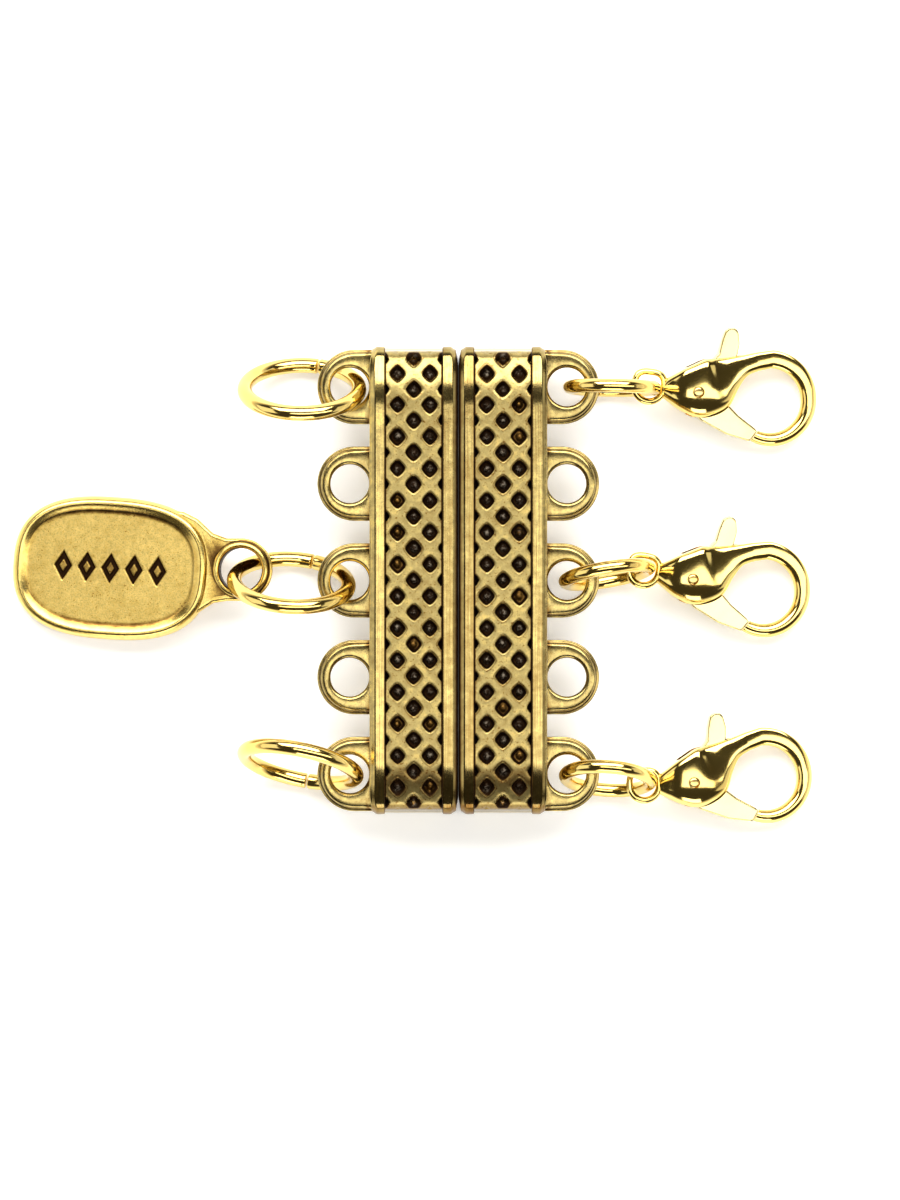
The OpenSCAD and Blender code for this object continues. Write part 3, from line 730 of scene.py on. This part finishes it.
def tipOutline(q):                            # the part of a disc about the pivot that lies beyond the tip's corner
    x, y = q["tipCorner"]
    start = np.degrees(np.arccos((x - q["pivot"]) / q["tip"]))
    a = arc(-start, np.degrees(np.arcsin(y / q["tip"])), 40)
    return np.vstack([[x, y], np.column_stack([q["pivot"] + q["tip"] * np.cos(a), q["tip"] * np.sin(a)])])


def claspPlace(name):                         # the clasp's own frame, from the axis that its lever turns on
    joint = joints[name + "_lever_pivot"]
    axis = np.array(joint["axis"])
    heading, tilt = np.degrees(np.arctan2(axis[1], axis[0])), np.degrees(np.arccos(axis[2]))
    matrix = turned("z", heading) @ turned("y", tilt)
    return matrix, np.array(joint["pos_m"]) / mm - matrix @ [clasp["pivot"], 0, 0]


# Levers

lever = {
    "hub": (3.07, 0, 1.1), "tabRoot": (3.07, 0, 0.7), "reach": 4.73, "bore": 0.40,         # discs as x, y and radius
    "thick": 1.0, "thinner": 0.004, "edge": 0.09,             # the tab is thinner, so that its faces don't coincide
    "around": 240,
}
rivetProfile = [(-1.42, 0.20), (-1.40, 0.29), (-1.35, 0.345), (1.35, 0.345), (1.40, 0.29), (1.42, 0.20)]
gateDiscs = [(4.10, -0.90, 1.00), (5.57, -1.76, 0.74), (6.92, -2.25, 0.48)]
tabDiscs = [(4.82, 2.50, 0.60), (4.93, 3.45, 0.60), (4.93, 4.00, 0.48)]


def wrapped(x, y, first, second):
    # distance to the outline that wraps two discs, negative inside: to one of the discs, or to the straight side that
    # touches both
    (ax, ay, ar), (bx, by, br) = first, second
    length = np.hypot(bx - ax, by - ay)
    ux, uy = (bx - ax) / length, (by - ay) / length
    along, across = (x - ax) * ux + (y - ay) * uy, np.abs((x - ax) * uy - (y - ay) * ux)
    slope = (ar - br) / length
    level = np.sqrt(1 - slope ** 2)
    k = along * level - across * slope
    nearFirst, nearSecond = np.hypot(across, along) - ar, np.hypot(across, along - length) - br
    return np.where(k < 0, nearFirst, np.where(k > level * length, nearSecond, across * level + along * slope - ar))


def chained(x, y, discs):                     # the same for a row of discs, each wrapped with the next
    return np.minimum.reduce([wrapped(x, y, *pair) for pair in zip(discs, discs[1:])])


def contour(distance, centre, inset, count):
    # in each direction from the centre, the point at which the distance rises to -inset, found by halving
    a = np.linspace(0, 2 * np.pi, count, endpoint=False)
    low, high = np.zeros(count), np.full(count, 6.0)
    for _ in range(36):
        half = (low + high) / 2
        inside = distance(centre[0] + half * np.cos(a), centre[1] + half * np.sin(a)) < -inset
        low, high = np.where(inside, half, low), np.where(inside, high, half)
    return np.column_stack([centre[0] + low * np.cos(a), centre[1] + low * np.sin(a)])


def pillow(distance, centre, thick, q):
    # an outline with a thickness and rounded edges, as contours drawn in by a quarter round and then by a little more
    a = arc(0, 90, 6)
    inset = np.concatenate([q["edge"] * (1 - np.cos(a)), q["edge"] + np.array([0.08, 0.18])])
    level = np.concatenate([thick / 2 - q["edge"] * (1 - np.sin(a)), np.full(2, thick / 2)])
    rows = [np.column_stack([contour(distance, centre, i, q["around"]), np.full(q["around"], z)])
            for i, z in zip(inset, level)]
    below = [row * [1, 1, -1] for row in rows]
    return tube(np.stack(below[::-1] + rows))


def leverShells(q):                           # the gate with its arm, which ends on an arc about the pivot, and the tab
    def gate(x, y):
        return np.maximum(chained(x, y, [q["hub"]] + gateDiscs), np.hypot(x - q["hub"][0], y - q["hub"][1]) - q["reach"])

    def tab(x, y):
        return chained(x, y, [q["tabRoot"]] + tabDiscs)
    return pillow(gate, gateDiscs[0], q["thick"], q), pillow(tab, tabDiscs[0], q["thick"] - q["thinner"], q)


for name in ("top", "middle", "bottom"):
    matrix, shift = claspPlace(name)
    piece = solid("clasp_" + name, claspBody(clasp))
    change(piece, claspEye(clasp), "UNION")
    through = lathe([(-3, clasp["rivet"]), (3, clasp["rivet"])], 48, "z")
    change(piece, slab(slotOutline(clasp), clasp["slotThick"]), "DIFFERENCE")
    change(piece, slab(tipOutline(clasp), 4), "DIFFERENCE")
    change(piece, moved(through, [clasp["pivot"], 0, 0]), "DIFFERENCE")
    settle(piece, matrix, shift, "right_half", "hook_" + name, claspGold, 45)

    gate, tab = leverShells(lever)
    piece = solid("gate_" + name, gate)
    change(piece, tab, "UNION")
    bore = lathe([(-2, lever["bore"]), (2, lever["bore"])], 48, "z")
    change(piece, moved(bore, [clasp["pivot"], 0, 0]), "DIFFERENCE")
    settle(piece, matrix, shift, name + "_lever", "lever_" + name, leverGoldSheen, 45)

    piece = solid("pin_" + name, moved(lathe(rivetProfile, 40, "z"), [clasp["pivot"], 0, 0]))
    settle(piece, matrix, shift, "right_half", "rivet_" + name, rivetGold, 50)
print("lobster clasps made")


# The tag

tag = {
    "length": 12.9, "width": 9.3, "thick": 1.2, "power": 2.6, "turn": -4, "around": 420, "rings": 84,
    "hang": (-3.12, 0.85), "eyeZ": 2.25, "lift": 0.02,        # the eye from the ring's middle, its height, the far edge's
    "eyeAt": (8.55, -0.1), "eyeR": 2.05, "holeR": 1.4, "eyeAround": 110,
    "eye": {"ledgeTop": 0.25, "inner": 0.2, "outer": 0.2},    # where its section isn't the loops'
    "lozenges": 5, "lozengePitch": 1.55, "lozenge": (0.6, 1.0), "lozengeDeep": 0.15, "boss": 0.42,
}
# how dark the tag's antiquing is; side is painted shade on the rim's inner slope along the top and bottom; below 0 it
# is rubbed bright
tagPatinaAndShade = {"sunk": 0.98, "side": 0.46, "rim": -0.12, "rest": 0.05, "bore": 0.75, "groove": 0.6, "edgeSatin": 0.3}
rimProfile = [                                # in from the outside and up from the back, ending at the field
    (0.14, 0.0), (0.04, 0.04), (0.0, 0.14), (0.0, 0.5), (0.015, 0.62), (0.04, 0.74), (0.08, 0.86), (0.12, 0.95),
    (0.17, 1.03), (0.22, 1.09), (0.28, 1.14), (0.35, 1.175), (0.43, 1.195), (0.50, 1.195), (0.58, 1.17), (0.67, 1.125),
    (0.76, 1.075), (0.85, 1.025), (0.93, 0.985), (1.01, 0.958), (1.10, 0.95)]


def oval(q, count):                           # |x/a|^power + |y/b|^power = 1 in even steps, and its outward normals
    a = np.linspace(0, 2 * np.pi, 4001)
    curve = np.stack([q["length"] / 2 * np.sign(np.cos(a)) * np.abs(np.cos(a)) ** (2 / q["power"]),
                      q["width"] / 2 * np.sign(np.sin(a)) * np.abs(np.sin(a)) ** (2 / q["power"])], 1)
    walk = np.concatenate([[0], np.cumsum(np.linalg.norm(np.diff(curve, axis=0), axis=1))])
    even = np.linspace(0, walk[-1], count, endpoint=False)
    outline = np.stack([np.interp(even, walk, curve[:, k]) for k in (0, 1)], 1)
    along = np.roll(outline, -1, 0) - np.roll(outline, 1, 0)
    return outline, np.stack([along[:, 1], -along[:, 0]], 1) / np.linalg.norm(along, axis=1)[:, None]


def lozengeRing(x, y, q):                     # 1 on the edge of the nearest lozenge of the row, less inside it
    spot = np.clip(np.round(x / q["lozengePitch"]), -(q["lozenges"] // 2), q["lozenges"] // 2)
    return np.abs(x - spot * q["lozengePitch"]) / q["lozenge"][0] + np.abs(y) / q["lozenge"][1]


def tagPlate(q):
    # rings drawn in from the oval by the rim's profile, then shrunk to the middle, where the lozenges sink in
    outline, outward = oval(q, q["around"])
    profile = np.array(rimProfile)
    rings = [np.column_stack([outline - outward * inset, np.full(q["around"], z)]) for inset, z in profile]
    field = rings[-1]
    for t in np.linspace(0, 1, q["rings"])[1:-1]:
        ring = field * [1 - t, 1 - t, 1]
        edge = lozengeRing(ring[:, 0], ring[:, 1], q)
        sunk = soften(edge, 1.06, 0.82) * (1 - 0.8 * soften(edge, q["boss"] + 0.12, q["boss"] - 0.08))
        ring[:, 2] += 0.02 * t - q["lozengeDeep"] * sunk
        rings.append(ring)
    back = [rings[0] * [1 - t, 1 - t, 1] for t in (0.75, 0.3)]
    return tube(np.stack(back + rings))


neck = {
    "outline": [(4.2, 3.72), (4.75, 3.68), (5.7, 3.2), (6.7, 2.27), (7.6, 1.94), (8.55, 1.94),
                (8.55, -2.14), (7.6, -2.14), (6.7, -2.28), (5.7, -2.92), (5.0, -3.5), (4.2, -3.6)],
    "top": 0.93, "edge": 0.2, "around": 200, "middle": (6.3, 0),
}


def tagNeck(q):                               # a slab between the plate and the eye, its edges rounded
    corners = np.array(q["outline"])
    following = np.roll(corners, -1, axis=0)

    def inside(x, y):                         # distance to the outline, negative inside
        nearest, crossings = np.full(x.shape, 9.0), np.zeros(x.shape, int)
        for (ax, ay), (bx, by) in zip(corners, following):
            share = np.clip(((x - ax) * (bx - ax) + (y - ay) * (by - ay)) / ((bx - ax) ** 2 + (by - ay) ** 2), 0, 1)
            nearest = np.minimum(nearest, np.hypot(x - ax - share * (bx - ax), y - ay - share * (by - ay)))
            level = (ay > y) != (by > y)
            crossings += level & (x < (bx - ax) * (y - ay) / np.where(level, by - ay, 1) + ax)
        return np.where(crossings % 2, -nearest, nearest)
    return moved(pillow(inside, q["middle"], q["top"], q), [0, 0, q["top"] / 2])


def buildTag():
    # plate, neck and eye joined, then tilted so that the far edge lies on the surface and the eye hangs in its ring
    low, high = nodeBox("tag_ring")
    ring = (low + high) / 2
    far = tag["eyeAt"][0] + tag["length"] / 2
    slope = np.degrees(np.arcsin((tag["eyeZ"] - tag["thick"] / 2) / far))
    plate = tagPlate(tag)
    spin = turned("z", tag["turn"])
    piece = solid("tag_plate", (plate[0] @ spin.T, plate[1]))
    eye = eyeShell({**loop, **tag["eye"]}, tag["holeR"], lambda angle: tag["eyeR"] + 0 * angle, tag["eyeAround"])
    change(piece, tagNeck(neck), "UNION")
    change(piece, moved(eye, [*tag["eyeAt"], tag["thick"] / 2]), "UNION")
    hole = lathe([(-2, tag["holeR"] - 0.005), (2, tag["holeR"] - 0.005)], tag["eyeAround"], "z")
    change(piece, moved(hole, [*tag["eyeAt"], 0]), "DIFFERENCE")

    points = pointsOf(piece)
    x, y, z = points.T
    flat = points @ spin
    outline, _ = oval(tag, 400)
    fromRim = np.min(np.hypot(flat[:, :1] - outline[:, 0], flat[:, 1:2] - outline[:, 1]), axis=1)
    fromEye = np.hypot(x - tag["eyeAt"][0], y - tag["eyeAt"][1])
    onPlate = (fromEye > tag["eyeR"]) & (x < tag["length"] / 2 + 0.1)
    edge = lozengeRing(flat[:, 0], flat[:, 1], tag)
    sunk = soften(edge, 1.04, 0.86) * (1 - 0.75 * soften(edge, tag["boss"] + 0.08, tag["boss"] - 0.06))
    # painted shade on the rim's inner slope, strongest along the top and bottom and least at the ends
    side = np.abs(np.sin(np.arctan2(flat[:, 1] / tag["width"], flat[:, 0] / tag["length"])))
    shade = tagPatinaAndShade["side"] * side * soften(np.abs(fromRim - 0.98), 0.26, 0.03)
    face = np.maximum(tagPatinaAndShade["sunk"] * sunk, shade) + tagPatinaAndShade["rim"] * soften(fromRim, 0.75, 0.55)
    dark = np.where(onPlate & (z > 0.3), face, tagPatinaAndShade["rest"])
    bore = tagPatinaAndShade["bore"] * soften(fromEye, tag["holeR"] + 0.14, tag["holeR"] + 0.01)
    groove = tagPatinaAndShade["groove"] * soften(np.abs(fromEye - tag["eyeR"] + 0.2), 0.10, 0.02)
    dark = np.where(fromEye < tag["eyeR"] + 0.01, np.maximum(bore, groove), dark)
    mark(piece, "patina", dark)
    for name in ("soot", "brushed"):
        mark(piece, name, np.zeros(len(x)))
    mark(piece, "satin", np.where(onPlate & (fromRim > 0.95), 1.0, tagPatinaAndShade["edgeSatin"]))
    matrix = turned("y", -slope)
    shift = np.array([ring[0] + tag["hang"][0] - far, ring[1] + tag["hang"][1] - tag["eyeAt"][1], tag["lift"]])
    shift = shift + matrix @ [tag["length"] / 2, 0, 0]
    settle(piece, matrix, shift, "left_half", "tag", tagGold, 50)


buildTag()
print("tag made")


# Camera, floor and light

view = {"centre": (-0.54, -1.27), "height": 700, "lens": 322, "sensor": 36}   # straight down
camera = bpy.data.objects.new("camera", bpy.data.cameras.new("camera"))
bpy.context.scene.collection.objects.link(camera)
camera.location = (view["centre"][0] * mm, view["centre"][1] * mm, view["height"] * mm)
camera.data.lens, camera.data.sensor_width = view["lens"], view["sensor"]
camera.data.clip_start, camera.data.clip_end = 0.01, 10
bpy.context.scene.camera = camera

floorSize = 1.5
floorMesh = bpy.data.meshes.new("floor")
corners = np.array([(-1, -1, 0), (1, -1, 0), (1, 1, 0), (-1, 1, 0)]) * floorSize
floorMesh.from_pydata(corners.tolist(), [], [(0, 1, 2, 3)])
floor = bpy.data.objects.new("floor", floorMesh)
bpy.context.scene.collection.objects.link(floor)
floorPaint, start, _ = newMaterial("floorPaint")
shader = start.make("ShaderNodeBsdfPrincipled", None, {
    "Base Color": (0.97, 0.97, 0.97, 1), "Roughness": 0.9,
    "Emission Color": (1, 0.99, 0.97, 1), "Emission Strength": 0.3})
start.make("ShaderNodeOutputMaterial", None, {"Surface": shader})
floorMesh.materials.append(floorPaint)

lights = {                                    # lean towards +X and +Y and half sizes, all in degrees, then brightness
    "overhead": (17, -6, 35, 8.6, 2.4), "back": (0, 42, 34, 19, 4.9), "front": (0, -68, 17, 12, 2.9),
    "left": (-62, 0, 16, 24, 1.0), "right": (70, 0, 11, 24, 0.7),
}
lampDistance = 1000
for name, (leanX, leanY, halfWide, halfTall, brightness) in lights.items():
    lamp = bpy.data.lights.new(name, "AREA")
    lamp.shape = "RECTANGLE"
    lamp.size, lamp.size_y = (2 * lampDistance * mm * np.tan(np.radians(half)) for half in (halfWide, halfTall))
    lamp.energy = brightness * 4 * lamp.size * lamp.size_y
    lamp.color = (1.0, 0.992, 0.97)
    panel = bpy.data.objects.new(name, lamp)
    bpy.context.scene.collection.objects.link(panel)
    lean = turned("y", leanX) @ turned("x", -leanY)
    panel.location = lean @ [0, 0, lampDistance * mm]
    panel.rotation_euler = Matrix(lean.tolist()).to_euler()
    panel.visible_camera = False

# the room's brightness by height above the horizon: pale at the horizon, dim above it
world = bpy.data.worlds.new("studio")
world.use_nodes = True
world.node_tree.nodes.clear()
start = Wire(world.node_tree)
direction = start.make("ShaderNodeTexCoord", None, None, 0)
height = start.make("ShaderNodeSeparateXYZ", None, {0: direction}, 2)
room = height.ramp([(0.05, (1.15, 1.12, 1.06)), (0.26, (0.05, 0.043, 0.028))])
glow = start.make("ShaderNodeBackground", None, {"Color": room, "Strength": 1.0})
start.make("ShaderNodeOutputWorld", None, {"Surface": glow})
bpy.context.scene.world = world
bpy.context.scene.view_settings.view_transform = "Standard"
print("camera, floor and light set")
